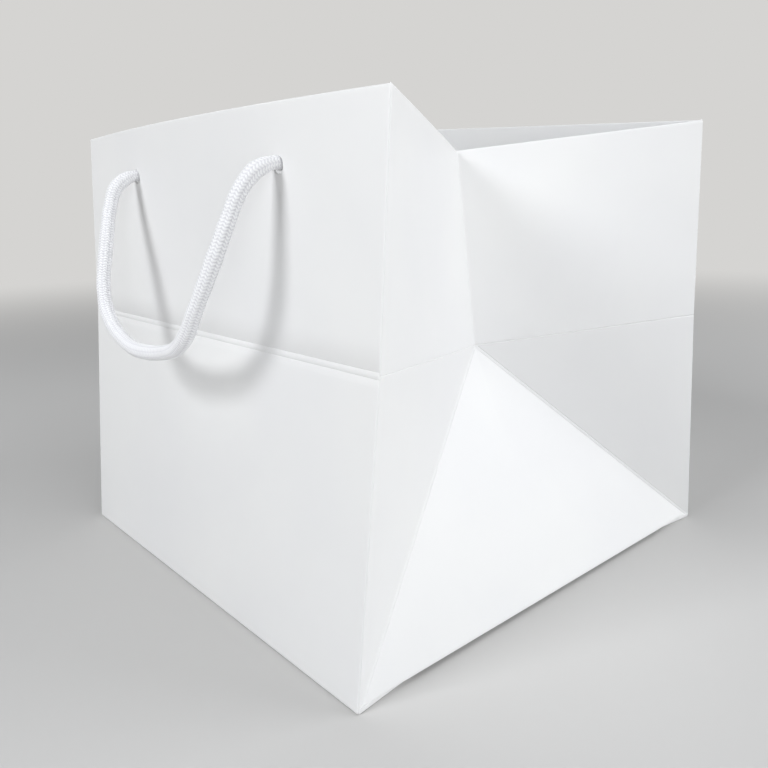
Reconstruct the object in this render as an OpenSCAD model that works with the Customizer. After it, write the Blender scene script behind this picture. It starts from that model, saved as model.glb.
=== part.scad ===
// Square-bottomed carrier bag of laminated white card with rope handles, standing open with its gussets folded in.
// The origin is the middle of the base, on the surface that the bag stands on. +Z is up, the front panel is at -Y,
// and +X runs along the front panel. The card is one sheet: panels, gussets, bottom flaps and the turned-in hem.

/* [Bag] */
// Width of the front and back panels
bag_w = 215; // [190:1:240]
// Depth of the bag, which is the full width of a gusset when it is pulled flat
bag_d = 220; // [200:1:240]
// Height of the panels from base fold to rim, measured along the sheet
bag_h = 192; // [175:1:240]
// Thickness of one ply of the card
sheet_t = 0.4; // [0.3:0.05:0.7]
// Depth of the hem turned in at the rim and glued flat as a second ply, measured on the front panel
hem_depth = 38; // [25:1:45]

/* [Folds] */
// Height of the cross crease on the front panel and on each gusset's centre line, along the sheet
crease_h = 110; // [100:1:120]
// How much lower the same crease lies on the back panel
back_crease_drop = 4; // [0:0.5:8]
// Inward lean of the panels below the crease at the right-hand gusset, in degrees
right_lower_lean = 6.5; // [4:0.5:9]
// Inward lean of the panels below the crease at the left-hand gusset, in degrees
left_lower_lean = 5.5; // [4:0.5:9]
// Inward lean of the panels above the crease at the right-hand gusset, in degrees
right_upper_lean = 4.5; // [2:0.5:7]
// Inward lean of the panels above the crease at the left-hand gusset, in degrees
left_upper_lean = 4; // [2:0.5:7]
// How far the middle of the front rim bows outwards
front_bow = 7; // [0:0.5:12]
// Distance between the two score lines of the cross crease on the front and back panels
score_gap = 2; // [1.5:0.1:4]
// Width of one score line
score_w = 1; // [0.6:0.1:1.2]
// Depth of one score line
score_depth = 0.15; // [0.05:0.05:0.2]

/* [Bottom] */
// Height of the folded flap plies below the base, at the front and back
flap_t = 1.6; // [0.8:0.1:2.4]
// Width of the free end of the front and back flaps, where they lap in the middle
flap_end_w = 24; // [10:1:60]
// How far the front flap laps past the middle of the base
flap_lap = 8; // [4:1:20]
// Length of the thick folded web beside each corner, along the gusset's bottom edge
web_l = 26; // [15:1:40]
// How far that web has drawn back from the edge at its far end
web_w = 3; // [1:0.5:8]

/* [Handle holes] */
// Distance between the two rope holes of a panel
hole_pitch = 106; // [90:1:120]
// Sideways offset of each pair of holes from the middle of its panel
hole_shift = 4.5; // [-6:0.5:6]
// Distance of the holes below the rim, along the sheet
hole_drop = 19.5; // [15:0.5:23]
// Gap all round between a rope and its hole
hole_clear = 0.9; // [0.2:0.1:1]

/* [Ropes] */
// Diameter of the knitted rope
rope_d = 5; // [4:0.5:7]
// Diameter of the overhand knot in each end of a rope
knot_d = 13; // [12:0.5:18]
// Length of that knot
knot_l = 11; // [10:0.5:16]
// Diameter of the knot's flat side, which bears on the card
knot_seat_d = 10; // [9:0.5:11.5]
// Length of rope left over beyond a knot
knot_tail = 11; // [5:1:20]

/* [Base board] */
// Thickness of the loose board on the bottom
board_t = 1; // [0.6:0.1:2]
// Gap between the board and the base folds, all round
board_gap = 4; // [3:0.5:10]

/* [Hidden] */
$fn = 48;

// Sides are named by their sign: right is +1 and left is -1, back is +1 and front is -1
right = 1;
left = -1;
back = 1;
front = -1;

floor_z = flap_t + sheet_t;
hole_d = rope_d + 2 * hole_clear;

// Steps of the sheet's grid across a panel, across half a gusset and across its bottom triangle
panel_steps = 12;
half_steps = 4;
foot_steps = 2;

// Route of the front rope's centre line, from the right-hand knot's flat side to the left-hand one's. Each end lies
// high in its hole, as in the photo
front_route = [
  [57.2, -94.5, 172.2],
  [57.2, -98.6, 172.2],
  [56.7, -105.1, 169.4],
  [55.5, -110.3, 162.9],
  [54.2, -113.9, 154.8],
  [52.4, -117.6, 145.3],
  [49.2, -120.7, 135.5],
  [43.8, -122.8, 125.4],
  [37.2, -123.2, 116.8],
  [27.9, -122.8, 110.8],
  [17.3, -122.8, 107.8],
  [6.2, -123.6, 106.4],
  [-5.8, -124.8, 107],
  [-17.8, -125.4, 111.5],
  [-27.6, -124.8, 119.2],
  [-34, -122.6, 129],
  [-38.2, -119.2, 139.1],
  [-41.8, -115.9, 148.6],
  [-45.2, -112.6, 157.4],
  [-47.6, -108.6, 166],
  [-48.5, -103.6, 170.5],
  [-48.8, -98.6, 172.2],
  [-48.8, -96, 172.2]
];
// The back rope hangs as the front's mirror image, closer in because the back rim doesn't bow
back_rope_inset = 3;
back_route = [for (p = front_route) [p.x, -p.y - back_rope_inset, p.z]];
rope_sides = 12;

function lerp(a, b, t) = a + (b - a) * t;
function unit(v) = v / norm(v);

// Fold points of the standing bag. Each card edge keeps its real length when the gusset folds in.
function lower_lean(side) = side == right ? right_lower_lean : left_lower_lean;
function upper_lean(side) = side == right ? right_upper_lean : left_upper_lean;
function crease_len(face) = face == front ? crease_h : crease_h - back_crease_drop;

function base_pt(side, face) = [side * bag_w / 2, face * bag_d / 2, 0];

function crease_pt(side, face) =
  let (c = crease_len(face), a = lower_lean(side))
  [side * bag_w / 2, face * (bag_d / 2 - c * sin(a)), c * cos(a)];

function rim_pt(side, face) =
  let (u = bag_h - crease_len(face), b = upper_lean(side))
  crease_pt(side, face) + [0, -face * u * sin(b), u * cos(b)];

// Where the cross crease meets the gusset's centre line: crease_h from the base fold's middle, and half a gusset
// from each panel edge
function apex_pt(side) =
  let (
    f = crease_pt(side, front),
    b = crease_pt(side, back),
    half_y = (b.y - f.y) / 2,
    mean_z = (b.z + f.z) / 2,
    z = (crease_h ^ 2 - (bag_d / 2) ^ 2 + half_y ^ 2 + mean_z ^ 2) / (2 * mean_z)
  )
  [side * (bag_w / 2 - sqrt(crease_h ^ 2 - z ^ 2)), 0, z];

// Top of the gusset's centre line: half a gusset from the rim corner and the upper sheet's height from the apex
function valley_pt(side) =
  let (
    rim = rim_pt(side, front),
    corner = [bag_w / 2, rim.z],
    reach = sqrt((bag_d / 2) ^ 2 - rim.y ^ 2),
    apex = apex_pt(side),
    low = [abs(apex.x), apex.z],
    rise = bag_h - crease_h,
    gap = low - corner,
    dist = norm(gap),
    along = (reach ^ 2 - rise ^ 2 + dist ^ 2) / (2 * dist),
    off = sqrt(reach ^ 2 - along ^ 2),
    dir = gap / dist,
    top = corner + dir * along + [dir.y, -dir.x] * off
  )
  [side * top.x, 0, top.y];

// The sheet's outer face is a grid. A row is [zone, t]: zone 0 runs from the base fold to the cross crease and
// zone 1 from the crease to the rim. Its eight stations are the upright fold lines, in order round the bag.
function upright(side, face, row) =
  row[0] == 0 ? lerp(base_pt(side, face), crease_pt(side, face), row[1])
              : lerp(crease_pt(side, face), rim_pt(side, face), row[1]);

function fold_line(side, face, row) =
  row[0] == 0 ? lerp(base_pt(side, face), apex_pt(side), row[1])
              : lerp(apex_pt(side), valley_pt(side), row[1]);

function stations(row) = [
  upright(left, front, row),
  upright(right, front, row),
  fold_line(right, front, row),
  fold_line(right, back, row),
  upright(right, back, row),
  upright(left, back, row),
  fold_line(left, back, row),
  fold_line(left, front, row)
];

station_steps = [
  panel_steps, half_steps, foot_steps, half_steps,
  panel_steps, half_steps, foot_steps, half_steps
];
// A column is [station before it, share of the way to the next one]
columns = [for (k = [0:7]) for (i = [0:station_steps[k] - 1]) [k, i / station_steps[k]]];
n_col = len(columns);

function on_foot(j) = columns[j][0] == 2 || columns[j][0] == 6;
function on_panel(j) = columns[j][1] > 0 && (columns[j][0] == 0 || columns[j][0] == 4);
function ends_foot(j) = columns[j][1] == 0 && (columns[j][0] == 3 || columns[j][0] == 7);

// The front rim's bow fades out towards the crease and the corners
function bow(row, column) =
  row[0] == 1 && column[0] == 0
    ? [0, -front_bow * 4 * column[1] * (1 - column[1]) * row[1] ^ 2, 0]
    : [0, 0, 0];

function outer_pt(row, column) =
  let (s = stations(row), k = column[0])
  lerp(s[k], s[(k + 1) % 8], column[1]) + bow(row, column);

// Above the crease a gusset's foot closes to a single line, so its columns share one point
function same_point(row, j) = (row[0] == 1 || row[1] == 1) && (on_foot(j) || ends_foot(j));
function next_col(row, j, step) =
  let (k = (j + step + n_col) % n_col)
  same_point(row, j) && same_point(row, k) ? next_col(row, k, step) : k;

// Vector that moves a point one unit into the card from both faces that meet there
function inward(row, j) =
  let (
    r = row[0] == 0 ? [0, 0.5] : row,
    step = 0.01,
    here = outer_pt(r, columns[j]),
    before = outer_pt(r, columns[next_col(r, j, -1)]),
    after = outer_pt(r, columns[next_col(r, j, 1)]),
    rise = outer_pt([r[0], r[1] + step], columns[j]) - outer_pt([r[0], r[1] - step], columns[j]),
    n = (unit(cross(here - before, rise)) + unit(cross(after - here, rise))) / 2
  )
  -n / (n * n);

function inward_at(row, j) =
  row[0] == 0 && row[1] == 1 ? (inward([0, 1], j) + inward([1, 0], j)) / 2 : inward(row, j);

// Rows of the outer face, each with how deep its score line is
rise_front = bag_h - crease_h;
score_mid = score_gap / 2;
score_half = score_w / 2;
outer_rows = [
  [[0, 0], 0],
  [[0, 0.5], 0],
  [[0, 1 - (score_mid + score_half) / crease_h], 0],
  [[0, 1 - score_mid / crease_h], score_depth],
  [[0, 1 - (score_mid - score_half) / crease_h], 0],
  [[0, 1], 0],
  [[1, (score_mid - score_half) / rise_front], 0],
  [[1, score_mid / rise_front], score_depth],
  [[1, (score_mid + score_half) / rise_front], 0],
  [[1, 0.25], 0],
  [[1, 0.5], 0],
  [[1, 0.75], 0],
  [[1, 1], 0]
];

// Rows of the inner face from the rim down, each with the card's thickness there
hem_row = [1, 1 - hem_depth / rise_front];
inner_rows = [
  [[1, 1], 2 * sheet_t],
  [[1, 0.75], 2 * sheet_t],
  [hem_row, 2 * sheet_t],
  [hem_row, sheet_t],
  [[1, 0.25], sheet_t],
  [[0, 1], sheet_t],
  [[0, 0.5], sheet_t]
];

// The inner face starts where each column comes up through the floor
function floor_pt(j) =
  let (
    v = inward([0, 0], j) * sheet_t,
    top = outer_pt([0, 1], columns[j]),
    t = (floor_z - v.z) / top.z
  )
  outer_pt([0, t], columns[j]) + v;

// Where a gusset's foot is closed, all its columns use the point of its middle column
foot_middle = [
  panel_steps + half_steps + foot_steps / 2,
  n_col - half_steps - foot_steps / 2
];
function point_col(row, j) =
  same_point(row, j) ? foot_middle[columns[j][0] == 2 || columns[j][0] == 3 ? 0 : 1] : j;

module sheet_shell() {
  outer_pts = [
    for (r = outer_rows) for (j = [0:n_col - 1])
      outer_pt(r[0], columns[point_col(r[0], j)])
        + (on_panel(j) ? inward_at(r[0], j) * r[1] : [0, 0, 0])
  ];
  inner_pts = [
    for (r = inner_rows) for (j = [0:n_col - 1])
      let (c = point_col(r[0], j)) outer_pt(r[0], columns[c]) + inward_at(r[0], c) * r[1]
  ];
  floor_pts = [for (j = [0:n_col - 1]) floor_pt(j)];
  rows = concat([for (r = outer_rows) r[0]], [for (r = inner_rows) r[0]], [[0, 0]]);
  n_row = len(rows);
  under = n_row * n_col;
  above = under + 1;
  all_pts = concat(outer_pts, inner_pts, floor_pts, [[0, 0, 0], [0, 0, floor_z]]);
  function at(i, j) = i * n_col + point_col(rows[i], j % n_col);
  quads = [
    for (i = [0:n_row - 2]) for (j = [0:n_col - 1])
      for (t = [[at(i, j), at(i + 1, j), at(i + 1, j + 1)], [at(i, j), at(i + 1, j + 1), at(i, j + 1)]])
        if (t[0] != t[1] && t[1] != t[2] && t[0] != t[2]) t
  ];
  bottom = [for (j = [0:n_col - 1]) [under, at(0, j), at(0, j + 1)]];
  floor_fan = [for (j = [0:n_col - 1]) [above, at(n_row - 1, j + 1), at(n_row - 1, j)]];
  polyhedron(points = all_pts, faces = concat(quads, bottom, floor_fan));
}

// Space under a gusset's own bottom flap, between the thicker front and back flaps
module side_recess(side) {
  corner_x = bag_w / 2;
  corner_y = bag_d / 2;
  out = 1;
  end_x = flap_end_w / 2;
  end_y = max(corner_y - web_l - (corner_x - web_w - end_x), 0);
  translate([0, 0, -out])
    linear_extrude(flap_t + out)
      polygon([
        for (p = [
          [corner_x + out, -corner_y + web_w],
          [corner_x, -corner_y + web_w],
          [corner_x - web_w, -corner_y + web_l],
          [end_x, -end_y],
          [end_x, end_y],
          [corner_x - web_w, corner_y - web_l],
          [corner_x, corner_y - web_w],
          [corner_x + out, corner_y - web_w]
        ]) [side * p.x, p.y]
      ]);
}

// Step where the front flap's free end lies over the back flap
module lap_step() {
  step_w = 0.4;
  translate([-flap_end_w / 2 - 1, flap_lap, -1])
    cube([flap_end_w + 2, step_w, 1 + sheet_t]);
}

function hole_x(side) = hole_shift + side * hole_pitch / 2;

// A point on the outer face, given its x on the front or back panel and its distance below the rim
function panel_pt(x, face, drop) =
  let (
    share = x / bag_w + 0.5,
    t = 1 - drop / (bag_h - crease_len(face)),
    column = face == front ? [0, share] : [4, 1 - share]
  )
  outer_pt([1, t], column);

module rope_hole(side, face) {
  reach = 10;
  low = panel_pt(hole_x(side), face, hole_drop + 1);
  high = panel_pt(hole_x(side), face, hole_drop - 1);
  tilt = atan((high.y - low.y) / (high.z - low.z));
  translate(panel_pt(hole_x(side), face, hole_drop))
    rotate([90 - tilt, 0, 0])
      cylinder(h = 2 * reach, d = hole_d, center = true);
}

module bag_sheet() {
  color("white")
    difference() {
      sheet_shell();
      side_recess(right);
      side_recess(left);
      lap_step();
      for (face = [front, back])
        for (side = [left, right])
          rope_hole(side, face);
    }
}

module base_board() {
  color("whitesmoke")
    translate([-bag_w / 2 + board_gap, -bag_d / 2 + board_gap, floor_z])
      cube([bag_w - 2 * board_gap, bag_d - 2 * board_gap, board_t]);
}

// Round tube along a route, one ring at each of its points
module rope(route) {
  last = len(route) - 1;
  tangents = [for (i = [0:last]) unit(route[min(i + 1, last)] - route[max(i - 1, 0)])];
  sides = [
    for (i = 0, v = [1, 0, 0]; i <= last; i = i + 1,
         v = i <= last ? unit(v - tangents[i] * (v * tangents[i])) : v) v
  ];
  pts = [
    for (i = [0:last]) for (k = [0:rope_sides - 1])
      let (a = 360 * k / rope_sides, w = cross(tangents[i], sides[i]))
        route[i] + (sides[i] * cos(a) + w * sin(a)) * rope_d / 2
  ];
  walls = [
    for (i = [0:last - 1]) for (k = [0:rope_sides - 1])
      let (a = i * rope_sides + k, b = i * rope_sides + (k + 1) % rope_sides)
        [b, a, a + rope_sides, b + rope_sides]
  ];
  ends = [
    [for (k = [0:rope_sides - 1]) k],
    [for (k = [rope_sides - 1:-1:0]) last * rope_sides + k]
  ];
  polyhedron(points = pts, faces = concat(walls, ends), convexity = 4);
}

module front_handle_rope() {
  color("white") rope(front_route);
}

module back_handle_rope() {
  color("white") rope(back_route);
}

// Overhand knot as a turned barrel with its flat side at the end of the rope, and the rope's loose tail beyond it
module knot(place, face) {
  round_l = knot_l * 0.3;
  translate(place)
    rotate([face * 90, 0, 0])
      rotate_extrude()
        polygon([
          [0, 0],
          [knot_seat_d / 2, 0],
          [knot_d / 2, round_l],
          [knot_d / 2, knot_l - round_l],
          [knot_seat_d / 2, knot_l],
          [rope_d / 2, knot_l],
          [rope_d / 2, knot_l + knot_tail],
          [0, knot_l + knot_tail]
        ]);
}

module front_right_knot() {
  color("white") knot(front_route[0], front);
}

module front_left_knot() {
  color("white") knot(front_route[len(front_route) - 1], front);
}

module back_right_knot() {
  color("white") knot(back_route[0], back);
}

module back_left_knot() {
  color("white") knot(back_route[len(back_route) - 1], back);
}

bag_sheet();
base_board();
front_handle_rope();
front_right_knot();
front_left_knot();
back_handle_rope();
back_right_knot();
back_left_knot();
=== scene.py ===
# %% [markdown]
# # A white card carrier bag with rope handles
#
# The bag stands open on a pale floor. It is one sheet of laminated card, cut, scored, folded and glued, with a
# loose board on its bottom and two knitted ropes knotted through holes in the turned-in rim. This lesson makes each
# piece in Blender the way it is made in the factory, round a frame that is loaded first and never changed.

# %% The frame
import math

import bpy
import numpy as np
from mathutils import Matrix, Vector


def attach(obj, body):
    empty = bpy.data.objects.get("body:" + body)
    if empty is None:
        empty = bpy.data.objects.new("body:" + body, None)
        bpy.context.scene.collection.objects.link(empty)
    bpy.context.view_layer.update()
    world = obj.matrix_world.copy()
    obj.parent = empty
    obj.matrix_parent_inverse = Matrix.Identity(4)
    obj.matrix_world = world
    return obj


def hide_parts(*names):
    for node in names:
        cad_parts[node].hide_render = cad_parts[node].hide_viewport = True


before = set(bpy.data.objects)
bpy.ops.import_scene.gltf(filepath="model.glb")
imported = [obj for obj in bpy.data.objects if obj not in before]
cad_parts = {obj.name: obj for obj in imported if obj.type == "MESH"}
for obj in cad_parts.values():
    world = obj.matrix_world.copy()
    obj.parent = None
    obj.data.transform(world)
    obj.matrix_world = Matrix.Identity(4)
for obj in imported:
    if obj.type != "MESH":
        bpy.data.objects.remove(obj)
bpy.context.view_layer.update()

MM = 0.001
print("nodes:", sorted(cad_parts))

# %% [markdown]
# ## The camera
#
# A product photographer stands close to a small bag, a little above its middle and off to the right, so its near
# edge looms and its sides converge. The place, aim and lens below were solved from the corners of the real bag. The
# camera is made first; the ropes' routes were measured against what it sees.

# %% The camera
CAMERA_AT = Vector((0.2650, -0.2347, 0.1595))
AZIMUTH, ELEVATION, ROLL = (math.radians(a) for a in (48.665, 14.046, -1.132))
FOCAL_PIXELS, FRAME_PIXELS, SENSOR_MM = 729.7, 768, 36.0

back_axis = Vector((math.sin(AZIMUTH) * math.cos(ELEVATION), -math.cos(AZIMUTH) * math.cos(ELEVATION),
                    math.sin(ELEVATION)))
level_right = Vector((0, 0, 1)).cross(back_axis).normalized()
level_up = back_axis.cross(level_right)
right_axis = level_right * math.cos(ROLL) + level_up * math.sin(ROLL)
up_axis = level_up * math.cos(ROLL) - level_right * math.sin(ROLL)

camera = bpy.data.objects.new("camera", bpy.data.cameras.new("camera"))
camera.data.sensor_width = SENSOR_MM
camera.data.lens = FOCAL_PIXELS / FRAME_PIXELS * SENSOR_MM
camera.data.clip_start = 0.01
camera.matrix_world = Matrix.Translation(CAMERA_AT) @ Matrix((right_axis, up_axis, back_axis)).transposed().to_4x4()
bpy.context.scene.collection.objects.link(camera)
bpy.context.scene.camera = camera
print("lens:", round(camera.data.lens, 1), "mm")

# %% [markdown]
# ## A few helpers for the workbench
#
# Blender's operators act on whatever is selected, so each piece starts with everything deselected. A small function
# applies a modifier at once, and another hands a finished piece to the frame.

# %% Workbench helpers
def clear_selection():
    for item in list(bpy.context.selected_objects):
        item.select_set(False)


def take(piece):
    clear_selection()
    piece.select_set(True)
    bpy.context.view_layer.objects.active = piece
    return piece


def modify(piece, kind, **settings):
    take(piece)
    modifier = piece.modifiers.new(kind.title(), kind)
    for name, value in settings.items():
        setattr(modifier, name, value)
    bpy.ops.object.modifier_apply(modifier=modifier.name)
    return piece


def smooth(piece, degrees):
    take(piece)
    bpy.ops.object.shade_smooth_by_angle(angle=math.radians(degrees))


def finish_piece(piece, name, slot, *nodes):
    piece.name = name
    piece.data.name = name
    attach(piece, "root")
    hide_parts(*nodes)
    print(name, len(piece.data.polygons), "faces")
    return piece


# %% [markdown]
# ## The fold points of the bag
#
# A gusset is a side panel that folds inwards. Below the cross crease it is a triangle with two folded triangles
# beside it, and above the crease two halves that meet in a valley. The card neither stretches nor shrinks, so the
# apex and the top of the valley follow from the panels' lean and the lengths on the flat sheet.

# %% Fold points
WIDTH, DEPTH, TALL = 215.0, 220.0, 192.0
CREASE = {"front": 110.0, "back": 106.0}
LOWER_LEAN = {"right": 6.5, "left": 5.5}
UPPER_LEAN = {"right": 4.5, "left": 4.0}
HALF = DEPTH / 2


def fold_points(side):
    sign = 1 if side == "right" else -1
    low, up = math.radians(LOWER_LEAN[side]), math.radians(UPPER_LEAN[side])
    found = {}
    for face, y in (("front", -1), ("back", 1)):
        c = CREASE[face]
        rise = TALL - c
        base = np.array([sign * WIDTH / 2, y * HALF, 0.0])
        crease = base + np.array([0, -y * c * math.sin(low), c * math.cos(low)])
        rim = crease + np.array([0, -y * rise * math.sin(up), rise * math.cos(up)])
        found[face] = {"base": base, "crease": crease, "rim": rim}
    front, rear = found["front"], found["back"]
    half_y = (rear["crease"][1] - front["crease"][1]) / 2
    mean_z = (rear["crease"][2] + front["crease"][2]) / 2
    z = (CREASE["front"] ** 2 - HALF ** 2 + half_y ** 2 + mean_z ** 2) / (2 * mean_z)
    apex_x = WIDTH / 2 - math.sqrt(CREASE["front"] ** 2 - z ** 2)
    corner = np.array([WIDTH / 2, front["rim"][2]])
    reach = math.sqrt(HALF ** 2 - front["rim"][1] ** 2)
    rise = TALL - CREASE["front"]
    gap = np.array([apex_x, z]) - corner
    distance = np.linalg.norm(gap)
    along = (reach ** 2 - rise ** 2 + distance ** 2) / (2 * distance)
    off = math.sqrt(reach ** 2 - along ** 2)
    ahead = gap / distance
    top = corner + ahead * along + np.array([ahead[1], -ahead[0]]) * off
    found["apex"] = np.array([sign * apex_x, 0, z])
    found["valley"] = np.array([sign * top[0], 0, top[1]])
    return found


# The hidden rear left corner of the rim stands this much higher, as the slope of the photographed back rim shows
BACK_RISE = 12.0
FOLDS = {side: fold_points(side) for side in ("right", "left")}
FOLDS["left"]["back"]["rim"][2] += BACK_RISE
print("right apex", FOLDS["right"]["apex"].round(1), "valley", FOLDS["right"]["valley"].round(1))

# %% [markdown]
# ## From the flat blank to the standing bag
#
# In the factory the bag is a flat blank: four panels side by side, 870 mm round. u runs round the bag from its
# front left edge and v up from the bottom fold. This function says where each point of the blank goes when the bag
# is folded up. Every panel is carried by its own fold points. A card fold isn't sharp: each point's place is the mean
# of the places of a small ring of points round it, which leaves flat panels alone and rounds every fold alike.

# %% The folding rule
ROUND_BAG = 2 * (WIDTH + DEPTH)
PANEL_STARTS = (0, WIDTH, WIDTH + DEPTH, 2 * WIDTH + DEPTH)
GUSSET_LIFT, LIFT_REACH, LEAST_LIFT = 1.6, 4, 0.35
FOLD_ROUND, RING_STEPS = 0.65, 16
FRONT_BOW = 7.0
SCORE_GAP, SCORE_HALF, SCORE_DEEP = 2.2, 0.32, 0.26


def mix(a, b, t):
    return a + (b - a) * t


def on_panel(u, v, face):
    """Places on the front or back panel. u is measured from the panel's left edge as seen from outside."""
    first, last = ("left", "right") if face == "front" else ("right", "left")
    sign = -1 if face == "front" else 1
    c = CREASE[face]
    s, low, high = (u / WIDTH)[:, None], (np.maximum(v, 0) / c)[:, None], ((v - c) / (TALL - c))[:, None]
    edge = [FOLDS[side][face] for side in (first, last)]
    row = [mix(edge[0][k], edge[1][k], s) for k in ("base", "crease", "rim")]
    placed = np.where(v[:, None] <= c, mix(row[0], row[1], low), mix(row[1], row[2], high))
    placed[:, 1] += sign * np.minimum(v, 0)
    if face == "front":
        placed[:, 1] -= FRONT_BOW * 4 * s[:, 0] * (1 - s[:, 0]) * np.clip(high[:, 0], 0, None) ** 2
    return placed


def on_gusset(u, v, side):
    """Places on a gusset. u is measured from its edge at the front panel, across both halves."""
    near = u <= HALF
    g = np.where(near, u, DEPTH - u)
    lift = GUSSET_LIFT * np.clip(g / LIFT_REACH, LEAST_LIFT, 1)
    below = np.maximum(lift - v, 0)
    v = np.maximum(v, lift)
    apex, valley = FOLDS[side]["apex"], FOLDS[side]["valley"]
    result = np.zeros((len(u), 3))
    base = FOLDS[side]["front"]["base"], FOLDS[side]["back"]["base"]
    centre = base[0] + np.outer(u / DEPTH, base[1] - base[0]) + np.outer(v / HALF, apex - (base[0] + base[1]) / 2)
    for face, mask in (("front", near), ("back", ~near)):
        a, p, t = (FOLDS[side][face][k] for k in ("base", "crease", "rim"))
        c = CREASE[face]
        crease_v = c + (HALF - c) * g / HALF
        folded = a + np.outer((v - g) / c, p - a) + np.outer(g / HALF, apex - a)
        s = (g / HALF)[:, None]
        high = ((v - crease_v) / (TALL - crease_v))[:, None]
        upper = mix(mix(p, apex, s), mix(t, valley, s), high)
        side_place = np.where((v <= crease_v)[:, None], folded, upper)
        result[mask] = side_place[mask]
    in_centre = v < g
    result[in_centre] = centre[in_centre]
    sign = 1 if side == "right" else -1
    result[:, 0] -= sign * below
    return result


def sharp_place(u, v):
    """Where the outer face of the blank goes, with sharp folds, in mm."""
    u = np.mod(u, ROUND_BAG)
    result = np.zeros((len(u), 3))
    panel = np.searchsorted(PANEL_STARTS, u, side="right") - 1
    for k, start in enumerate(PANEL_STARTS):
        mask = panel == k
        if not mask.any():
            continue
        local, height = u[mask] - start, v[mask]
        if k == 0:
            result[mask] = on_panel(local, height, "front")
        elif k == 2:
            result[mask] = on_panel(local, height, "back")
        elif k == 1:
            result[mask] = on_gusset(local, height, "right")
        else:
            result[mask] = on_gusset(DEPTH - local, height, "left")
    return result


def place(u, v):
    """The same with each fold rounded."""
    total = np.zeros((len(u), 3))
    for k in range(RING_STEPS):
        angle = 2 * math.pi * (k + 0.5) / RING_STEPS
        total += sharp_place(u + FOLD_ROUND * math.cos(angle), v + FOLD_ROUND * math.sin(angle))
    return total / RING_STEPS


def inward(u, v):
    """Unit vectors that point into the bag."""
    d = 0.4
    across = place(u + d, v) - place(u - d, v)
    up = place(u, v + d) - place(u, v - d)
    normal = np.cross(up, across)
    return normal / np.linalg.norm(normal, axis=1)[:, None]


for name, point in (("corner", (WIDTH, 0)), ("apex", (WIDTH + HALF, HALF)), ("rim", (WIDTH, TALL))):
    print(name, place(np.array([point[0]]), np.array([point[1]])).round(1))

# %% [markdown]
# ## Flex in the panels
#
# Card that has been folded and unfolded is never dead flat. Each panel swells or hollows by half a millimetre or so
# between its folds, which is what bends a highlight. The swelling fades to nothing at the folds.

# %% Flex
LOW_SWELL, HIGH_WAVE, FOOT_DISH, UPPER_CURL = 1.1, 0.35, -0.9, 0.7


def bump(t):
    return np.clip(4 * t * (1 - t), 0, 1)


def flex(u, v):
    """How far each point stands proud of its flat panel, in mm."""
    u = np.mod(u, ROUND_BAG)
    panel = np.searchsorted(PANEL_STARTS, u, side="right") - 1
    local = u - np.array(PANEL_STARTS)[panel]
    out = np.zeros(len(u))
    flat = (panel == 0) | (panel == 2)
    c = np.where(panel == 2, CREASE["back"], CREASE["front"])
    s = local / WIDTH
    low, high = np.clip(v / c, 0, 1), np.clip((v - c) / (TALL - c), 0, 1)
    swell = LOW_SWELL * bump(s) * bump(low) + HIGH_WAVE * np.sin(3 * math.pi * s) * bump(high)
    out[flat] = swell[flat]
    g = np.where(local <= HALF, local, DEPTH - local) / HALF
    centre = ~flat & (v < g * HALF)
    dish = FOOT_DISH * bump(np.clip(v / np.maximum(g * HALF, 1e-6), 0, 1)) * g
    out[centre] = dish[centre]
    upper = ~flat & (v > HALF)
    curl = UPPER_CURL * bump(g) * bump(np.clip(high * 0.8 + 0.1, 0, 1))
    out[upper] = curl[upper]
    return out


print("greatest flex:", flex(np.array([WIDTH / 2]), np.array([55.0])).round(2), "mm")

# %% [markdown]
# ## The card sheet
#
# The blank starts as one plane. It is bisected along every fold, every score line and the edges of the holes, as a
# cutting forme marks real card, and along a grid between them so that the panels can flex. Extra cuts close beside
# each fold give the rounding its shape. The strip above the rim is the hem, which turns in and lies flat inside.

# %% The flat blank
HEM = 38.0
RIM_RADIUS = 0.43
RIM_START = TALL - RIM_RADIUS
RIM_END = RIM_START + math.pi * RIM_RADIUS
BLANK_TOP = RIM_END + HEM
LIP = 2.0
PLY = 0.4

clear_selection()
bpy.ops.mesh.primitive_plane_add(size=1, location=(0, 0, 0))
blank = bpy.context.active_object
for vertex in blank.data.vertices:
    vertex.co = ((vertex.co.x + 0.5) * ROUND_BAG, -LIP + (vertex.co.y + 0.5) * (BLANK_TOP + LIP), 0)


def cut(points, direction, select=None):
    """Bisects the blank along a line through each point, only across faces whose middle passes select."""
    for point in points:
        bpy.ops.object.mode_set(mode="OBJECT")
        mesh = blank.data
        chosen = [True if select is None else bool(select(p.center.x, p.center.y)) for p in mesh.polygons]
        bpy.ops.object.mode_set(mode="EDIT")
        bpy.ops.mesh.select_all(action="DESELECT")
        bpy.ops.object.mode_set(mode="OBJECT")
        mesh.polygons.foreach_set("select", chosen)
        bpy.ops.object.mode_set(mode="EDIT")
        bpy.ops.mesh.bisect(plane_co=(point[0], point[1], 0), plane_no=(direction[0], direction[1], 0))
    bpy.ops.object.mode_set(mode="OBJECT")


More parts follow.
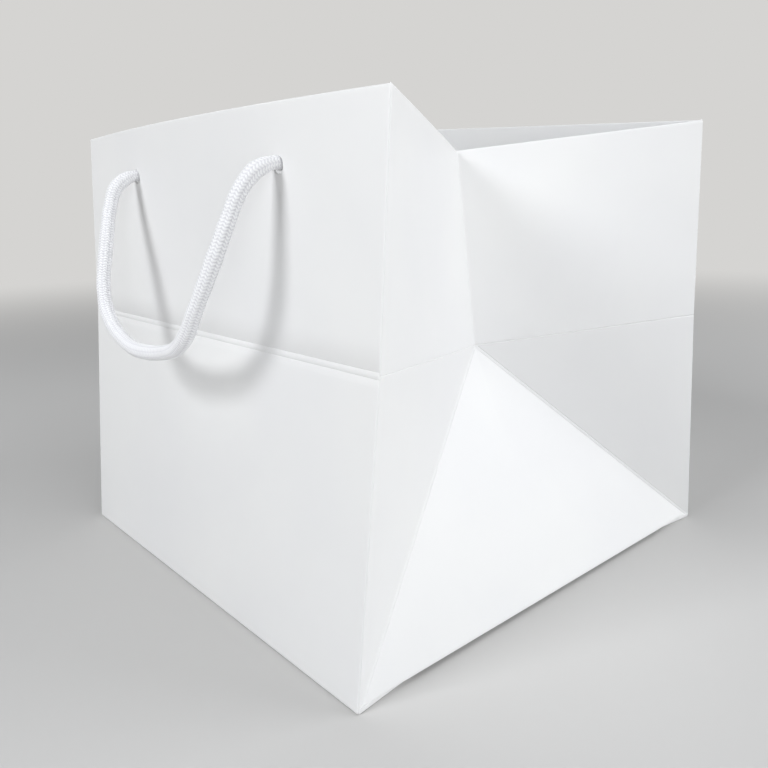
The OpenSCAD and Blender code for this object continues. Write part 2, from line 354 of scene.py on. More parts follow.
BESIDE = (-1.1, -0.96, -0.64, -0.32, 0.32, 0.64, 0.96, 1.1)
edges_u = [0, WIDTH, WIDTH + DEPTH, 2 * WIDTH + DEPTH, ROUND_BAG]
mid_u = [WIDTH + HALF, 2 * WIDTH + DEPTH + HALF]
PANEL_STEPS, HALF_STEPS, UPPER_STEPS, RIM_STEPS = 22, 9, 8, 6
upright_cuts = sorted({round(e + d, 3) for e in edges_u + mid_u for d in BESIDE if 0 < e + d < ROUND_BAG}
                      | {e for e in edges_u[1:-1] + mid_u})
spans = [(0, WIDTH, PANEL_STEPS), (WIDTH, HALF, HALF_STEPS), (WIDTH + HALF, HALF, HALF_STEPS),
         (WIDTH + DEPTH, WIDTH, PANEL_STEPS), (2 * WIDTH + DEPTH, HALF, HALF_STEPS),
         (2 * WIDTH + DEPTH + HALF, HALF, HALF_STEPS)]
for start, span, steps in spans:
    upright_cuts += [start + span * k / steps for k in range(1, steps)]
cut([(u, 0) for u in upright_cuts], (1, 0))
crease, above = CREASE["front"], TALL - CREASE["front"]
level_cuts = [-1.2, -0.6, 0, 0.5, 1.0, 1.6, 2.2, 3.0, 6.0] + [crease * k / HALF_STEPS for k in range(1, HALF_STEPS)]
level_cuts += [CREASE["back"], crease] + [crease + above * k / UPPER_STEPS for k in range(1, UPPER_STEPS)]
level_cuts += [TALL - 3, TALL - 1.5, RIM_START]
level_cuts += [RIM_START + math.pi * RIM_RADIUS * k / RIM_STEPS for k in range(1, RIM_STEPS)] + [RIM_END]
level_cuts += [RIM_END + HEM * k / 4 for k in range(1, 4)] + [BLANK_TOP - 0.4]
cut([(0, v) for v in level_cuts], (0, 1))
print("blank after the grid:", len(blank.data.polygons), "faces")


# %% [markdown]
# ### Scores and gusset folds
#
# The front and back panels carry two fine parallel scores across their crease. The gussets carry two diagonals from
# their bottom corners to the apex, and the crease itself, which slopes a little on the half beside the back panel.

# %% Score lines and diagonals
def within(u_from, u_to, v_from=-99, v_to=999):
    return lambda x, y: u_from < x < u_to and v_from < y < v_to


SCORE_STEPS = (-SCORE_HALF, 0, SCORE_HALF)
for start, face in ((0, "front"), (WIDTH + DEPTH, "back")):
    lines = [CREASE[face] + m + d for m in (-SCORE_GAP / 2, SCORE_GAP / 2) for d in SCORE_STEPS]
    cut([(0, v) for v in lines], (0, 1), within(start, start + WIDTH))
crease_drop = CREASE["front"] - CREASE["back"]
for start, end, slope in ((WIDTH, WIDTH + HALF, 0), (WIDTH + HALF, WIDTH + DEPTH, -crease_drop),
                          (2 * WIDTH + DEPTH, 2 * WIDTH + DEPTH + HALF, crease_drop),
                          (2 * WIDTH + DEPTH + HALF, ROUND_BAG, 0)):
    middle_v = HALF - abs(slope) / 2
    across = Vector((-slope, HALF)).normalized()
    anchor = Vector(((start + end) / 2, middle_v))
    cut([anchor + across * d for d in (0,) + BESIDE], across, within(start, end, 95, 125))
for start in (WIDTH, 2 * WIDTH + DEPTH):
    rising, falling = Vector((-1, 1)).normalized(), Vector((1, 1)).normalized()
    low, far = Vector((start, 0)), Vector((start + DEPTH, 0))
    cut([low + rising * d for d in (0,) + BESIDE], rising, within(start, start + HALF, -99, 112))
    cut([far + falling * d for d in (0,) + BESIDE], falling, within(start + HALF, start + DEPTH, -99, 112))
print("blank with its folds:", len(blank.data.polygons), "faces")

# %% [markdown]
# ### Punched holes
#
# Each hole is punched through the panel and through the hem behind it. A square of faces is cut round each centre,
# its faces are deleted and its rim is moved out to a circle, so the hole keeps a clean edge.

# %% Rope holes
HOLE_R = 3.0
HOLE_DROP = 19.5
HOLE_PITCH, HOLE_SHIFT = 106.0, 4.5
hole_u = [WIDTH / 2 + HOLE_SHIFT - HOLE_PITCH / 2, WIDTH / 2 + HOLE_SHIFT + HOLE_PITCH / 2,
          WIDTH + DEPTH + WIDTH / 2 - HOLE_SHIFT - HOLE_PITCH / 2,
          WIDTH + DEPTH + WIDTH / 2 - HOLE_SHIFT + HOLE_PITCH / 2]
hole_drop = [HOLE_DROP, HOLE_DROP]
for u in hole_u[2:]:
    stretch = 1 + BACK_RISE * (u - WIDTH - DEPTH) / WIDTH / (TALL - CREASE["back"])
    hole_drop.append(TALL - CREASE["back"] - (TALL - HOLE_DROP - CREASE["back"]) / stretch)
SQUARE_STEPS = (-1, -0.62, -0.3, 0, 0.3, 0.62, 1)
AROUND = 16.0
for u, drop in zip(hole_u, hole_drop):
    for v in (TALL - drop, RIM_END + drop - RIM_RADIUS):
        around = within(u - AROUND, u + AROUND, v - AROUND, v + AROUND - 2)
        cut([(u + HOLE_R * k, v) for k in SQUARE_STEPS], (1, 0), around)
        cut([(u, v + HOLE_R * k) for k in SQUARE_STEPS], (0, 1), around)
        take(blank)
        for polygon in blank.data.polygons:
            x, y = polygon.center.x - u, polygon.center.y - v
            polygon.select = abs(x) < HOLE_R and abs(y) < HOLE_R
        bpy.ops.object.mode_set(mode="EDIT")
        bpy.ops.mesh.delete(type="FACE")
        bpy.ops.object.mode_set(mode="OBJECT")
        for vertex in blank.data.vertices:
            away = Vector((vertex.co.x - u, vertex.co.y - v))
            if max(abs(away.x), abs(away.y)) < HOLE_R + 0.01 and away.length > 0.5:
                away = away.normalized() * HOLE_R
                vertex.co.x, vertex.co.y = u + away.x, v + away.y
print("blank with its holes:", len(blank.data.polygons), "faces")

# %% [markdown]
# ### Pressed score lines
#
# A score is a fine groove pressed from outside before the card is folded. The front and back creases have two, the
# gusset's crease has one, its diagonals have one on each side of the fold, and the upright folds one on the panel.

# %% Score depths
EDGE_SHARE, DIAGONAL_SHARE = 0.7, 0.8


def groove(distance):
    return SCORE_DEEP * np.clip(1 - np.abs(distance) / SCORE_HALF, 0, 1)


def scored(u, v):
    """How deep the outer face is pressed at each point of the blank, in mm."""
    panel = np.clip(np.searchsorted(PANEL_STARTS, u, side="right") - 1, 0, 3)
    local = u - np.array(PANEL_STARTS)[panel]
    flat = (panel == 0) | (panel == 2)
    c = np.where(panel == 2, CREASE["back"], CREASE["front"])
    edge = np.minimum(local, WIDTH - local)
    on_flat = groove(v - c - SCORE_GAP / 2) + groove(v - c + SCORE_GAP / 2)
    on_flat = np.maximum(on_flat, EDGE_SHARE * groove(edge - 2 * SCORE_HALF) * (v > 2))
    g = np.where(local <= HALF, local, DEPTH - local)
    by_back = (local > HALF) == (panel == 1)
    crease_v = np.where(by_back, CREASE["back"] + (HALF - CREASE["back"]) * g / HALF, HALF)
    diagonal = np.abs(v - g) / math.sqrt(2)
    beside = DIAGONAL_SHARE * groove(diagonal - 2 * SCORE_HALF) * (g > 3) * (g < HALF - 1)
    on_fold = np.maximum(groove(v - crease_v), beside)
    return np.where(v > RIM_START - 1, 0, np.where(flat, on_flat, on_fold))


# %% [markdown]
# ### Folding the sheet up
#
# Now every point of the blank is carried to its place. The rim turns over in a half circle and the hem comes down
# inside at one ply's depth. The two ends of the blank meet at the front left edge, where the real bag is glued, and
# their doubles are merged. Solidify then gives the sheet its thickness, inwards from the printed face.

# %% Folding up
flat = np.array([vertex.co[:2] for vertex in blank.data.vertices])
u, v = flat[:, 0], flat[:, 1]
turned = np.clip((v - RIM_START) / (RIM_END - RIM_START), 0, 1) * math.pi
wall_v = np.where(v <= RIM_START, v, np.where(v >= RIM_END, RIM_START - (v - RIM_END), RIM_START))
standing = place(u, wall_v)
into = inward(u, wall_v)
rising = place(u, np.full(len(u), RIM_START)) - place(u, np.full(len(u), RIM_START - 1))
rising /= np.linalg.norm(rising, axis=1)[:, None]
depth = RIM_RADIUS * (1 - np.cos(turned))
depth = depth + scored(u, v) - flex(u, wall_v)
standing += into * depth[:, None] + rising * (RIM_RADIUS * np.sin(turned))[:, None]
for vertex, spot in zip(blank.data.vertices, standing):
    vertex.co = Vector(spot) * MM
take(blank)
bpy.ops.object.mode_set(mode="EDIT")
bpy.ops.mesh.select_all(action="SELECT")
bpy.ops.mesh.remove_doubles(threshold=0.02 * MM)
bpy.ops.object.mode_set(mode="OBJECT")
low = [min(vertex.co[k] for vertex in blank.data.vertices) for k in range(3)]
high = [max(vertex.co[k] for vertex in blank.data.vertices) for k in range(3)]
print("folded sheet:", [round((b - a) * 1000, 1) for a, b in zip(low, high)], "mm")

# %% Card thickness
modify(blank, "SOLIDIFY", thickness=PLY * MM, offset=-1)
print("card sheet:", len(blank.data.polygons), "faces")

# %% [markdown]
# ### The bottom
#
# Below the bottom fold the same sheet goes on as four flaps. The two gusset flaps fold in first and lie on top, and
# the front and back flaps fold over them with slanted ends and are glued where they lap. Seen from below, each is a
# flat slab of folded plies, so each starts as a plane that is trimmed along its slanted ends and pulled up to its
# thickness. The thick corner of a flap can just be seen under the gusset.

# %% Bottom flaps
FLAP_T = 1.6
LAP, LAP_SLOPE = 8.0, 20
FLAP_INSET = 0.6
FRONT_EDGE, SIDE_EDGE = 0.15, 0.1


def flap_slab(low, high, trims, bottom, top, soft_edge):
    """A flat slab trimmed by lines, each given by a point and an outward direction, in mm."""
    clear_selection()
    bpy.ops.mesh.primitive_plane_add(size=1, location=(0, 0, 0))
    slab = bpy.context.active_object
    for vertex in slab.data.vertices:
        vertex.co = (mix(low[0], high[0], vertex.co.x + 0.5) * MM, mix(low[1], high[1], vertex.co.y + 0.5) * MM,
                     bottom * MM)
    bpy.ops.object.mode_set(mode="EDIT")
    for point, outward in trims:
        bpy.ops.mesh.select_all(action="SELECT")
        bpy.ops.mesh.bisect(plane_co=(point[0] * MM, point[1] * MM, 0), plane_no=(*outward, 0), clear_outer=True)
    bpy.ops.mesh.select_all(action="SELECT")
    bpy.ops.mesh.extrude_region_move(TRANSFORM_OT_translate={"value": (0, 0, (top - bottom) * MM)})
    bpy.ops.mesh.select_all(action="SELECT")
    bpy.ops.mesh.normals_make_consistent(inside=False)
    bpy.ops.object.mode_set(mode="OBJECT")
    modify(slab, "BEVEL", width=soft_edge * MM, segments=3, limit_method="ANGLE", angle_limit=math.radians(50))
    return slab


WEB_CORNER, WEB_END, FLAP_END = (107.3, 108.6), (104.5, 84.0), (12.0, 0.0)


def outward_of(start, end):
    along = (Vector(end) - Vector(start)).normalized()
    return Vector((along.y, -along.x))


flaps = []
for face, y in (("front", -1), ("back", 1)):
    trims = []
    for x in (-1, 1):
        for start, end in ((WEB_CORNER, WEB_END), (WEB_END, FLAP_END)):
            a, b = (x * start[0], y * start[1]), (x * end[0], y * end[1])
            away = outward_of(a, b)
            if away.x * x < 0:
                away = -away
            trims.append((a, away))
    reach = LAP if face == "front" else LAP + 0.1
    low_y, high_y = sorted((y * (HALF - FLAP_INSET), reach))
    flaps.append(flap_slab((-WEB_CORNER[0], low_y), (WEB_CORNER[0], high_y), trims, 0, FLAP_T, FRONT_EDGE))
ply_x, ply_y = WIDTH / 2 - LIP, HALF - FLAP_INSET
side_ply = flap_slab((-ply_x, -ply_y), (ply_x, ply_y), [], FLAP_T, FLAP_T + PLY, SIDE_EDGE)
for vertex in flaps[1].data.vertices:
    beyond = vertex.co.y / MM - LAP
    if vertex.co.z < FLAP_T / 2 * MM and beyond < LAP_SLOPE:
        vertex.co.z += PLY * MM * (1 - beyond / LAP_SLOPE)
take(blank)
for slab in flaps + [side_ply]:
    slab.select_set(True)
bpy.ops.object.join()
card_bag = blank
smooth(card_bag, 40)
print("card bag with its bottom:", len(card_bag.data.polygons), "faces")

# %% [markdown]
# ## The base board
#
# A loose board lies on the bottom and keeps it flat under a load. It is a plain rectangle with slightly rounded
# corners, guillotined, so its edges are crisp and show the grey core.

# %% Base board
BOARD_GAP, BOARD_T, BOARD_CORNER, BOARD_EDGE = 4.0, 1.0, 2.0, 0.12
floor_z = FLAP_T + PLY
clear_selection()
bpy.ops.mesh.primitive_cube_add(size=1, location=(0, 0, 0))
board = bpy.context.active_object
for vertex in board.data.vertices:
    vertex.co = (vertex.co.x * (WIDTH - 2 * BOARD_GAP) * MM, vertex.co.y * (DEPTH - 2 * BOARD_GAP) * MM,
                 (floor_z + (vertex.co.z + 0.5) * BOARD_T) * MM)
bpy.ops.object.mode_set(mode="EDIT")
bpy.ops.mesh.select_all(action="DESELECT")
bpy.ops.object.mode_set(mode="OBJECT")
for edge in board.data.edges:
    a, b = (board.data.vertices[k].co for k in edge.vertices)
    edge.select = abs(a.z - b.z) > 0.5 * MM
bpy.ops.object.mode_set(mode="EDIT")
bpy.ops.mesh.select_mode(type="EDGE")
bpy.ops.mesh.bevel(offset=BOARD_CORNER * MM, segments=5, affect="EDGES")
bpy.ops.object.mode_set(mode="OBJECT")
modify(board, "BEVEL", width=BOARD_EDGE * MM, segments=2, limit_method="ANGLE", angle_limit=math.radians(50))
smooth(board, 35)

# %% [markdown]
# ## The knitted rope
#
# The handles are a soft tubular cord, 5 mm thick under its fluff, knitted by machine on a small ring of needles: short
# slanting stitches stand in columns along it. One course of stitches is modelled as a short tube whose wall is pressed
# into slanting ribs, an array repeats it to a straight stock of rope, and a curve bends the stock along its route.

# %% One course of stitches
ROPE_D = 5.0
COURSE = 1.15
RINGS, SIDES, WALES = 6, 48, 8
YARN_FLUFF = 0.34
RIB_DEEP, WALE_DEEP = 0.26, 0.14
PINCH, PINCH_LONG = 0.22, 4.0


def stitch_radius(angle, along):
    """Radius of the cord's surface in mm, at an angle round it and a length along it."""
    column = (angle / (2 * math.pi) * WALES) % 1
    slant = abs(2 * column - 1)
    rib = 0.5 + 0.5 * math.cos(2 * math.pi * (along / COURSE + 0.55 * slant))
    return ROPE_D / 2 + YARN_FLUFF - RIB_DEEP * (1 - rib) ** 1.5 - WALE_DEEP * slant ** 4


def straight_stock(length):
    """A straight cord along Z, from 0 to at least length, in metres."""
    clear_selection()
    bpy.ops.mesh.primitive_cylinder_add(vertices=SIDES, radius=ROPE_D / 2 * MM, depth=COURSE * MM,
                                        end_fill_type="NOTHING", location=(0, 0, 0))
    stock = bpy.context.active_object
    for vertex in stock.data.vertices:
        vertex.co.z += COURSE / 2 * MM
    bpy.ops.object.mode_set(mode="EDIT")
    for k in range(1, RINGS):
        bpy.ops.mesh.select_all(action="SELECT")
        bpy.ops.mesh.bisect(plane_co=(0, 0, COURSE * MM * k / RINGS), plane_no=(0, 0, 1))
    bpy.ops.object.mode_set(mode="OBJECT")
    for vertex in stock.data.vertices:
        angle = math.atan2(vertex.co.y, vertex.co.x)
        r = stitch_radius(angle, vertex.co.z / MM) * MM
        vertex.co.x, vertex.co.y = r * math.cos(angle), r * math.sin(angle)
    modify(stock, "ARRAY", count=math.ceil(length / (COURSE * MM)), use_relative_offset=False,
           use_constant_offset=True, constant_offset_displace=(0, 0, COURSE * MM), use_merge_vertices=True,
           merge_threshold=0.02 * MM)
    return stock


# %% [markdown]
# ### Bending the stock along a route
#
# A route is a list of points. A smooth curve runs through them, and the places along it that the cord follows are
# kept, because the frame measures a cord against them. Each point of the stock also remembers how deep it lies between
# the stitches, from which the rope's finish paints darker shade there.

# %% Routes
def smooth_route(points, spacing=1.0):
    """A Catmull-Rom curve through the points, as points about the given spacing apart, in mm."""
    pts = [np.array(p, float) for p in points]
    pts = [2 * pts[0] - pts[1]] + pts + [2 * pts[-1] - pts[-2]]
    line = []
    for a, b, c, d in zip(pts, pts[1:], pts[2:], pts[3:]):
        steps = max(2, int(np.linalg.norm(c - b) / spacing * 4))
        for k in range(steps):
            t = k / steps
            line.append(0.5 * (2 * b + (c - a) * t + (2 * a - 5 * b + 4 * c - d) * t ** 2
                               + (3 * b - a - 3 * c + d) * t ** 3))
    line.append(pts[-2])
    line = np.array(line)
    run = np.r_[0, np.cumsum(np.linalg.norm(np.diff(line, axis=0), axis=1))]
    marks = np.linspace(0, run[-1], int(run[-1] / spacing) + 1)
    return np.array([np.interp(marks, run, line[:, k]) for k in range(3)]).T


def length_of(line):
    return float(np.linalg.norm(np.diff(line, axis=0), axis=1).sum())


def squeezed(z, length, pinches):
    """The cord's thickness at z mm along it: a little uneven, and narrower where a hole grips it."""
    size = 1 + 0.03 * math.sin(0.19 * z) + 0.015 * math.sin(0.61 * z + 1)
    for pinch in pinches:
        size *= 1 - PINCH * math.exp(-((z - (pinch if pinch >= 0 else length + pinch)) / PINCH_LONG) ** 2)
    return size


def knitted_cord(line, name, pinches):
    """Bends straight stock along a line given in mm. A pinch below zero is counted from the far end."""
    stock = straight_stock(length_of(line) * MM)
    stretch = length_of(line) * MM / max(vertex.co.z for vertex in stock.data.vertices)
    weave = stock.data.uv_layers.new(name="weave")
    for loop in stock.data.loops:
        co = stock.data.vertices[loop.vertex_index].co
        weave.data[loop.index].uv = (math.atan2(co.y, co.x) / (2 * math.pi) % 1 * 20, co.z / MM)
    # Painted shade: how deep each point lies between the stitches, which darkens the rope's colour there.
    hollow = stock.data.attributes.new("hollow", "FLOAT", "POINT")
    for vertex in stock.data.vertices:
        depth = ROPE_D / 2 + YARN_FLUFF - math.hypot(vertex.co.x, vertex.co.y) / MM
        hollow.data[vertex.index].value = min(1, depth / RIB_DEEP)
    for vertex in stock.data.vertices:
        vertex.co.z *= stretch
        size = squeezed(vertex.co.z / MM, length_of(line), pinches)
        vertex.co.x, vertex.co.y = vertex.co.x * size, vertex.co.y * size
    guide = bpy.data.curves.new("guide", "CURVE")
    guide.dimensions = "3D"
    guide.twist_mode = "MINIMUM"
    spline = guide.splines.new("POLY")
    spline.points.add(len(line) - 1)
    for point, spot in zip(spline.points, line):
        point.co = (*(spot * MM), 1)
    rail = bpy.data.objects.new("rail", guide)
    bpy.context.scene.collection.objects.link(rail)
    modify(stock, "CURVE", object=rail, deform_axis="POS_Z")
    bpy.data.objects.remove(rail)
    take(stock)
    bpy.ops.object.mode_set(mode="EDIT")
    bpy.ops.mesh.select_all(action="DESELECT")
    bpy.ops.mesh.select_mode(type="EDGE")
    bpy.ops.mesh.select_non_manifold()
    bpy.ops.mesh.edge_face_add()
    bpy.ops.mesh.select_all(action="DESELECT")
    bpy.ops.object.mode_set(mode="OBJECT")
    smooth(stock, 60)
    stock.name = name
    return stock


# %% [markdown]
# ### The handles
#
# Each rope leaves its hole square to the card, droops in a loop and goes back in at the other hole. The front loop
# follows the photograph, where each end lies high in its hole. The back one is its mirror image, a little closer in.

# %% Handle ropes
FRONT_ROUTE = [
    (57.2, -94.5, 172.2), (57.2, -98.6, 172.2), (56.7, -105.1, 169.4), (55.5, -110.3, 162.9), (54.2, -113.9, 154.8),
    (52.4, -117.6, 145.3), (49.2, -120.7, 135.5), (43.8, -122.8, 125.4), (37.2, -123.2, 116.8), (27.9, -122.8, 110.8),
    (17.3, -122.8, 107.8), (6.2, -123.6, 106.4), (-5.8, -124.8, 107), (-17.8, -125.4, 111.5), (-27.6, -124.8, 119.2),
    (-34, -122.6, 129), (-38.2, -119.2, 139.1), (-41.8, -115.9, 148.6), (-45.2, -112.6, 157.4),
    (-47.6, -108.6, 166), (-48.5, -103.6, 170.5), (-48.8, -98.6, 172.2), (-48.8, -96, 172.2),
]
BACK_INSET = 3
BACK_ROUTE = [(x, -y - BACK_INSET, z) for x, y, z in FRONT_ROUTE]
front_line, back_line = smooth_route(FRONT_ROUTE), smooth_route(BACK_ROUTE)
GRIPPED = (2.5, -2.5)
front_rope = knitted_cord(front_line, "front_handle_cord", GRIPPED)
back_rope = knitted_cord(back_line, "back_handle_cord", GRIPPED)
print("front rope:", round(length_of(front_line), 1), "mm, back rope:", round(length_of(back_line), 1), "mm")

# %% [markdown]
# ### The knots
#
# An overhand knot in each end keeps the rope from slipping out. Its line was found by pulling a loose trefoil tight
# until its turns touched. It is given for a 6 mm rope, as steps sideways, upwards and into the bag from the card's
# inner face.

# %% Overhand knots
KNOT_ROPE_D = 6.0
KNOT_LINE = [
    (0, 0, -0.4), (1.39, 0.35, 1.57), (1.57, -0.35, 4.96), (2.26, -2.61, 7.4), (0.26, -4.44, 9.48),
    (-2.87, -4.18, 10.8), (-5.39, -1.74, 10.8), (-5.66, 1.48, 9.83), (-3.65, 3.83, 8.35), (-0.52, 4.18, 6.96),
    (2.7, 4.09, 5.57), (5.22, 2.44, 4.0), (5.74, -0.7, 2.87), (3.92, -3.57, 2.52), (0.7, -4.52, 3.31),
    (-1.83, -3.39, 5.22), (-2.09, -0.87, 7.57), (-1.22, 0.26, 10.7), (-1.5, 0.5, 14.2), (-1.9, -0.2, 17.6),
    (-2.2, -1.6, 21.0), (-2.3, -3.4, 24.0),
]


def knot_at(spot, face, name):
    """spot is where the rope comes through the card. face is -1 at the front panel and 1 at the back."""
    size = ROPE_D / KNOT_ROPE_D
    line = [(spot[0] - face * side * size, spot[1] - face * deep * size, spot[2] + rise * size)
            for side, rise, deep in KNOT_LINE]
    return knitted_cord(smooth_route(line, 0.8), name, (0,))


knots = {
    "front_right_knot": knot_at(FRONT_ROUTE[0], -1, "front_right_overhand"),
    "front_left_knot": knot_at(FRONT_ROUTE[-1], -1, "front_left_overhand"),
    "back_right_knot": knot_at(BACK_ROUTE[0], 1, "back_right_overhand"),
    "back_left_knot": knot_at(BACK_ROUTE[-1], 1, "back_left_overhand"),
}

# %% [markdown]
# ## Handing the pieces to the frame
#
# Every piece rides on the bag's one body and stands for its CAD nodes.

# %% Pieces and cords
finish_piece(card_bag, "card_bag", "laminated_card", "bag_sheet")
finish_piece(board, "insert_board", "white_board", "base_board")
finish_piece(front_rope, "front_handle_cord", "knitted_rope", "front_handle_rope")
finish_piece(back_rope, "back_handle_cord", "knitted_rope", "back_handle_rope")
for node_name, piece in knots.items():
    finish_piece(piece, piece.name, "knitted_rope", node_name)

OUTSIDE = 2.2
for rope, line, face, ends in ((front_rope, front_line, -1, ("front_right_knot", "front_left_knot")),
                               (back_rope, back_line, 1, ("back_right_knot", "back_left_knot"))):
    start = line[0] + np.array([0, face * OUTSIDE, 0])

# %% [markdown]
# ## Finishes
#
# Colours are written as sRGB and turned to linear by one function. One small function adds a shader node, sets it
# and links it.

# %% Material helpers
def linear(hex_colour):
    parts = [int(hex_colour[k:k + 2], 16) / 255 for k in (1, 3, 5)]
    return (*[c / 12.92 if c <= 0.04045 else ((c + 0.055) / 1.055) ** 2.4 for c in parts], 1)


def add(tree, kind, inputs=None, **settings):
    """Adds a node. An input given as (node, output) is linked, and any other value is set on the socket."""
    node = tree.nodes.new("ShaderNode" + kind)
    for name, value in settings.items():
        setattr(node, name, value)
    for name, value in (inputs or {}).items():
        if isinstance(value, tuple) and isinstance(value[0], bpy.types.Node):
            tree.links.new(value[0].outputs[value[1]], node.inputs[name])
        else:
            node.inputs[name].default_value = value
    return node


def new_material(name):
    material = bpy.data.materials.new(name)
    material.use_nodes = True
    material.node_tree.nodes.clear()
    return material, material.node_tree


def ramp(tree, source, stops):
    node = add(tree, "ValToRGB", {"Fac": source})
    elements = node.color_ramp.elements
    for k, (position, colour) in enumerate(stops):
        element = elements[k] if k < 2 else elements.new(position)
        element.position, element.color = position, linear(colour)
    return node


# %% [markdown]
# ### Laminated card
#
# The printed side is white art card with a thin matt film. Film over card is satin, not dead matt: it has a soft
# sheen, a very fine orange-peel from the fibres below and a faint cockle a few centimetres long. The unprinted inside
# and the cut edges are shown with the same finish.

# %% Card material
def card_material(name, tint, tint_dark, rough, peel_mm, peel_deep, cockle_deep):
    material, tree = new_material(name)
    at = add(tree, "TexCoord")
    place_of = (at, "Object")
    clouds = add(tree, "TexNoise", {"Vector": place_of, "Scale": 1 / 0.06, "Detail": 3.0, "Roughness": 0.5})
    colour = ramp(tree, (clouds, "Fac"), ((0.35, tint_dark), (0.65, tint)))
    fine = add(tree, "TexNoise", {"Vector": place_of, "Scale": 1 / (peel_mm * MM), "Detail": 2.0, "Roughness": 0.55})
    wave = add(tree, "TexNoise", {"Vector": place_of, "Scale": 1 / 0.028, "Detail": 1.0, "Roughness": 0.4})
    cockle = add(tree, "Bump", {"Height": (wave, "Fac"), "Strength": 1.0, "Distance": cockle_deep * MM})
    peel = add(tree, "Bump", {"Height": (fine, "Fac"), "Strength": 1.0, "Distance": peel_deep * MM,
                              "Normal": (cockle, "Normal")})
    sheen_map = add(tree, "MapRange", {"Value": (fine, "Fac"), "From Min": 0.3, "From Max": 0.7,
                                       "To Min": rough - 0.04, "To Max": rough + 0.04})
    shader = add(tree, "BsdfPrincipled", {"Base Color": (colour, "Color"), "Roughness": (sheen_map, "Result"),
                                          "IOR": 1.5, "Specular IOR Level": 0.4, "Normal": (peel, "Normal")})
    add(tree, "OutputMaterial", {"Surface": (shader, "BSDF")})
    return material


laminated = card_material("matt_laminated_card", "#F0F0EF", "#EDEDED", 0.42, 0.9, 0.012, 0.25)
card_bag.data.materials.append(laminated)

# %% [markdown]
# ### White-lined board
#
# The insert is grey recycled board with a white liner. Tiny flecks show through the liner, and the guillotined edge
# shows the grey core.

# %% Board materials
def board_material(name, tint, fleck, rough):
    material, tree = new_material(name)
    at = add(tree, "TexCoord")
    place_of = (at, "Object")
    specks = add(tree, "TexNoise", {"Vector": place_of, "Scale": 1 / 0.0012, "Detail": 3.0, "Roughness": 0.7})
    colour = ramp(tree, (specks, "Fac"), ((0.28, fleck), (0.42, tint)))
    felt = add(tree, "TexNoise", {"Vector": place_of, "Scale": 1 / 0.0006, "Detail": 2.0})
    bump = add(tree, "Bump", {"Height": (felt, "Fac"), "Strength": 1.0, "Distance": 0.02 * MM})
    shader = add(tree, "BsdfPrincipled", {"Base Color": (colour, "Color"), "Roughness": rough,
                                          "Normal": (bump, "Normal")})
    add(tree, "OutputMaterial", {"Surface": (shader, "BSDF")})
    return material


liner = board_material("white_lined_board", "#E6E4DF", "#D2CEC6", 0.7)
core = board_material("grey_board_core", "#A59C90", "#857B6F", 0.85)
board.data.materials.clear()
board.data.materials.append(liner)
board.data.materials.append(core)
for polygon in board.data.polygons:
    polygon.material_index = 1 if abs(polygon.normal.z) < 0.5 else 0

# %% [markdown]
# ### Knitted polypropylene
#
# The rope is spun from fine white yarn. Between its stitches its colour is darkened as painted shade, each stitch has
# fibres that run along its slant, and soft fibres catch light at the rope's edges, which a little sheen gives.

# %% Rope material
rope_finish, tree = new_material("knitted_white_yarn")
weave = add(tree, "UVMap", uv_map="weave")
fibre_map = add(tree, "Mapping", {"Vector": (weave, "UV"), "Scale": (6.0, 1.2, 1.0)})
fibres = add(tree, "TexNoise", {"Vector": (fibre_map, "Vector"), "Scale": 2.0, "Detail": 3.0, "Roughness": 0.6})
yarn = ramp(tree, (fibres, "Fac"), ((0.3, "#F6F7F8"), (0.7, "#FCFCFD")))
depth_in = add(tree, "Attribute", attribute_name="hollow")
# Painted shade: the yarn is coloured darker where it lies deep between the stitches.
painted_groove_shade = ramp(tree, (depth_in, "Fac"), ((0.25, "#FFFFFF"), (0.95, "#E3E2E5")))
shaded = add(tree, "Mix", {6: (yarn, "Color"), 7: (painted_groove_shade, "Color"), 0: 1.0}, data_type="RGBA",
             blend_type="MULTIPLY")
fuzz = add(tree, "Bump", {"Height": (fibres, "Fac"), "Strength": 1.0, "Distance": 0.05 * MM})
shader = add(tree, "BsdfPrincipled", {"Base Color": (shaded, 2), "Roughness": 0.72, "Sheen Weight": 0.25,
                                      "Sheen Roughness": 0.4, "Subsurface Weight": 0.08,
                                      "Subsurface Radius": (0.002, 0.002, 0.002), "Subsurface Scale": 1.0,
                                      "Normal": (fuzz, "Normal")})
add(tree, "OutputMaterial", {"Surface": (shader, "BSDF")})
for piece in [front_rope, back_rope] + list(knots.values()):
    piece.data.materials.clear()
    piece.data.materials.append(rope_finish)

# %% [markdown]
# ## The studio
#
# A plain pale sweep of paper carries the bag. Far from the bag it fades into the backdrop's own tone, as a curved sweep
# does. The light in the photograph is soft: a key lamp stands high in front of the front panel and throws the rope's
# shadow on it, two wide fills stand to the right, and one hangs above.

# %% Floor and backdrop
PAPER, BACKDROP = "#CBCAC8", "#D5D4D2"
FADE_FROM, FADE_TO, FLOOR_SIZE, FLOOR_Z = 0.45, 1.5, 12, -0.0002
paper, tree = new_material("studio_sweep")
near_paper = add(tree, "BsdfPrincipled", {"Base Color": linear(PAPER), "Roughness": 0.9, "Specular IOR Level": 0.2})
far_paper = add(tree, "Emission", {"Color": linear(BACKDROP), "Strength": 1.0})
spot = add(tree, "TexCoord")
away = add(tree, "VectorMath", {0: (spot, "Object")}, operation="LENGTH")
fade = add(tree, "MapRange", {"Value": (away, "Value"), "From Min": FADE_FROM, "From Max": FADE_TO},
           interpolation_type="SMOOTHSTEP")
blend = add(tree, "MixShader", {0: (fade, "Result"), 1: (near_paper, "BSDF"), 2: (far_paper, "Emission")})
add(tree, "OutputMaterial", {"Surface": (blend, "Shader")})
clear_selection()
bpy.ops.mesh.primitive_plane_add(size=1, location=(0, 0, 0))
sweep = bpy.context.active_object
sweep.name = "studio_floor"
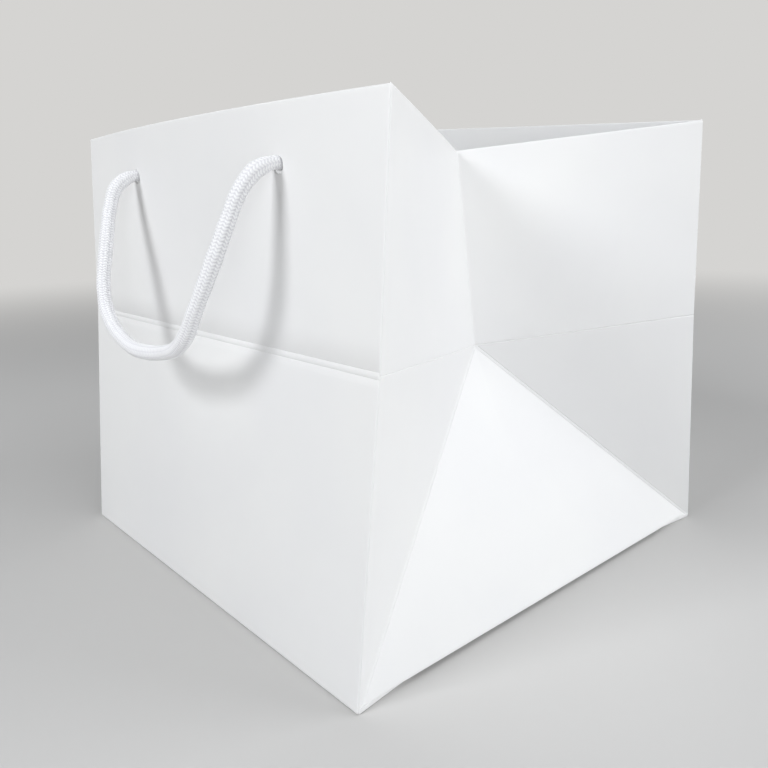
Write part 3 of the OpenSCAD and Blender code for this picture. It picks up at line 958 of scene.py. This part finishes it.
for vertex in sweep.data.vertices:
    vertex.co = (vertex.co.x * FLOOR_SIZE, vertex.co.y * FLOOR_SIZE, FLOOR_Z)
sweep.data.materials.append(paper)

world = bpy.data.worlds.new("studio_air")
bpy.context.scene.world = world
world.use_nodes = True
world.node_tree.nodes.clear()
tree = world.node_tree
air = add(tree, "Background", {"Color": linear("#F2F4F6"), "Strength": 0.04})
backdrop = add(tree, "Background", {"Color": linear(BACKDROP), "Strength": 1.0})
path = add(tree, "LightPath")
seen = add(tree, "Math", {0: (path, "Is Camera Ray"), 1: (path, "Is Glossy Ray")}, operation="MAXIMUM")
shown = add(tree, "Math", {0: (seen, "Value"), 1: (path, "Is Transmission Ray")}, operation="MAXIMUM")
both = add(tree, "MixShader", {0: (shown, "Value"), 1: (air, "Background"), 2: (backdrop, "Background")})
add(tree, "OutputWorld", {"Surface": (both, "Shader")})


# %% Lamps
def softbox(name, spot, target, size, watts, tint):
    lamp = bpy.data.lights.new(name, "AREA")
    lamp.shape = "RECTANGLE"
    lamp.size, lamp.size_y = size
    lamp.energy = watts
    lamp.color = linear(tint)[:3]
    holder = bpy.data.objects.new(name, lamp)
    bpy.context.scene.collection.objects.link(holder)
    holder.location = spot
    holder.rotation_euler = (Vector(target) - Vector(spot)).to_track_quat("-Z", "Y").to_euler()


MIDDLE = (0, 0, 0.1)
softbox("key", (-0.11, -1.4, 1.0), MIDDLE, (0.6, 0.6), 15.5, "#FAFCFF")
softbox("right_front", (1.3, -0.5, 0.5), MIDDLE, (1.0, 1.0), 7.9, "#FAFCFF")
softbox("right_back", (1.1, 1.2, 0.8), MIDDLE, (1.2, 1.2), 16.1, "#FAFCFF")
softbox("overhead", (0.1, 0.1, 1.6), MIDDLE, (1.4, 1.4), 8.8, "#FAFCFF")

# %% [markdown]
# ## Settings
#
# Colours are shown as written, with the Standard view.

# %% Finish
bpy.context.scene.view_settings.view_transform = "Standard"
